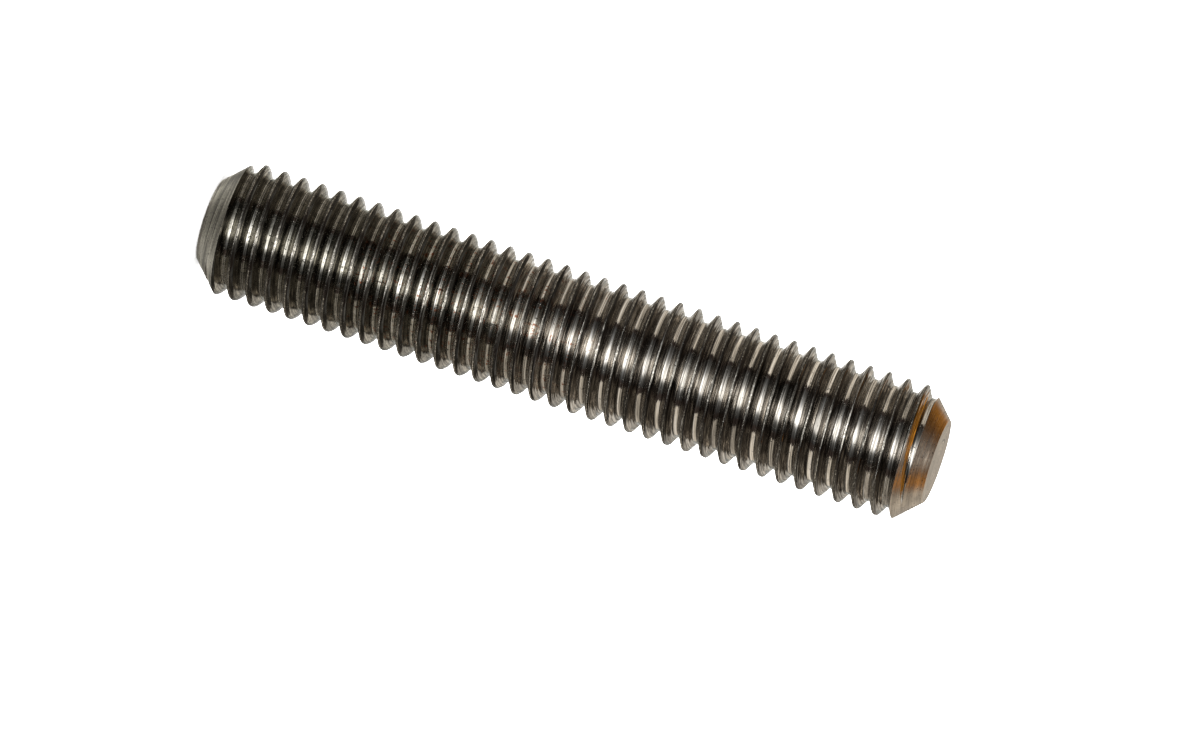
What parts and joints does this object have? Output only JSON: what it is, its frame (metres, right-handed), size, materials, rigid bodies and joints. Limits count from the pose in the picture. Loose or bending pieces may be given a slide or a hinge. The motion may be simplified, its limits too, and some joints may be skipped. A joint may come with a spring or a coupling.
{
  "type": "threaded stud",
  "caption": "Straight steel stud threaded over its whole length, with chamfered ends and flat end faces, used to join two tapped parts or a tapped part and a nut.",
  "frame": {"origin": "centre of the lower end face, on the surface that the stud stands on", "axes": "+Z along the stud's axis, from the lower end face to the upper one; +X and +Y point across the bar, and a crest of the thread crosses the +X side 0.32 of a pitch above the lower face"},
  "size_m": [0.0064, 0.0064, 0.0349],
  "materials": {
    "steel": "bare bright steel with fine rolled and turned lines running round the bar"
  },
  "bodies": {
    "root": {"stud": "steel"}
  },
  "joints": []
}
